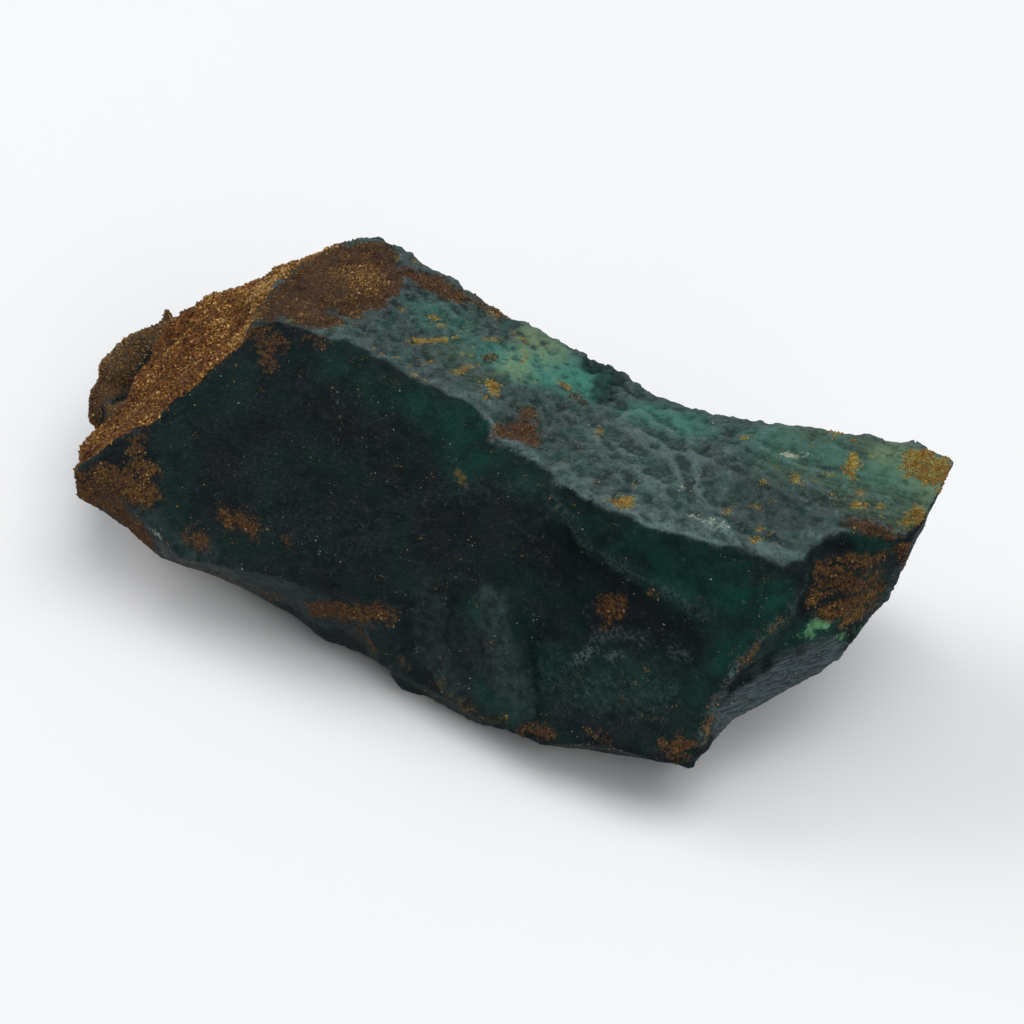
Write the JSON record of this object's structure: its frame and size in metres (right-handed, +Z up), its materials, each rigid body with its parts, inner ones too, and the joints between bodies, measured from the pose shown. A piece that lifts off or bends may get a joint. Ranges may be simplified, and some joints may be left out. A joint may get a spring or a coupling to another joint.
{
  "type": "raw emerald",
  "caption": "Rough broken lump of dark green emerald, with fracture faces, rusty grainy stains and a flat underside to rest on.",
  "frame": {"origin": "middle of the stone's footprint box, on the surface it rests on", "axes": "+X along the stone, from its sandy lobed end to its blunt broken end; -Y towards the large dark fracture face; +Z up"},
  "size_m": [0.0536, 0.0248, 0.017],
  "materials": {
    "emerald": "satin",
    "rust_grains": "matte",
    "pale_crystal": "satin"
  },
  "bodies": {
    "root": {"emerald": "emerald"}
  },
  "joints": []
}
